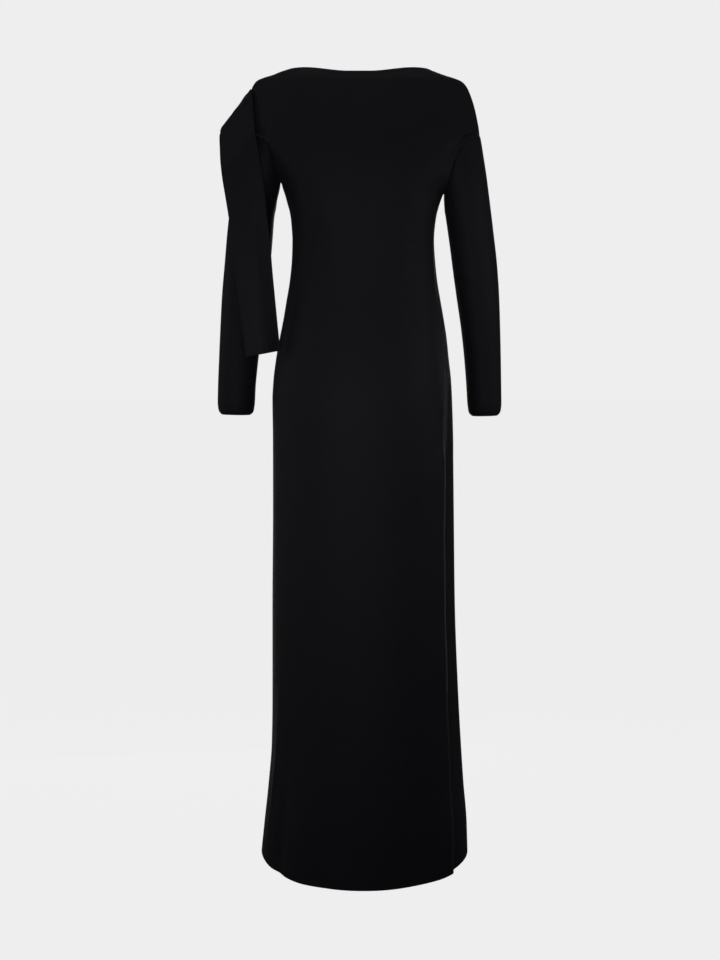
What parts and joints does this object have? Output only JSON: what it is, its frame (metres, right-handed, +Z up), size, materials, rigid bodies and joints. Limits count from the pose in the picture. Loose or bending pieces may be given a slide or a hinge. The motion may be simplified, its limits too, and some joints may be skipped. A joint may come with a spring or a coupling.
{
  "type": "maxi dress",
  "caption": "Long-sleeved black maxi dress with a boat neck, a side slit and a sash over the left shoulder, in its worn shape.",
  "frame": {"origin": "midway between the two neck points of the shoulder line, where the dress hangs from the wearer", "axes": "+X towards the wearer's right, +Y towards the wearer's front, +Z up"},
  "size_m": [0.5152, 0.2639, 1.4495],
  "materials": {
    "back_panel": "matte",
    "front_panel": "matte",
    "sleeve_right": "matte",
    "sleeve_left": "matte",
    "shoulder_sash": "matte"
  },
  "bodies": {
    "root": {"back_panel": "back_panel", "front_panel": "front_panel", "sleeve_right": "sleeve_right", "sleeve_left": "sleeve_left", "shoulder_sash": "shoulder_sash"}
  },
  "joints": []
}
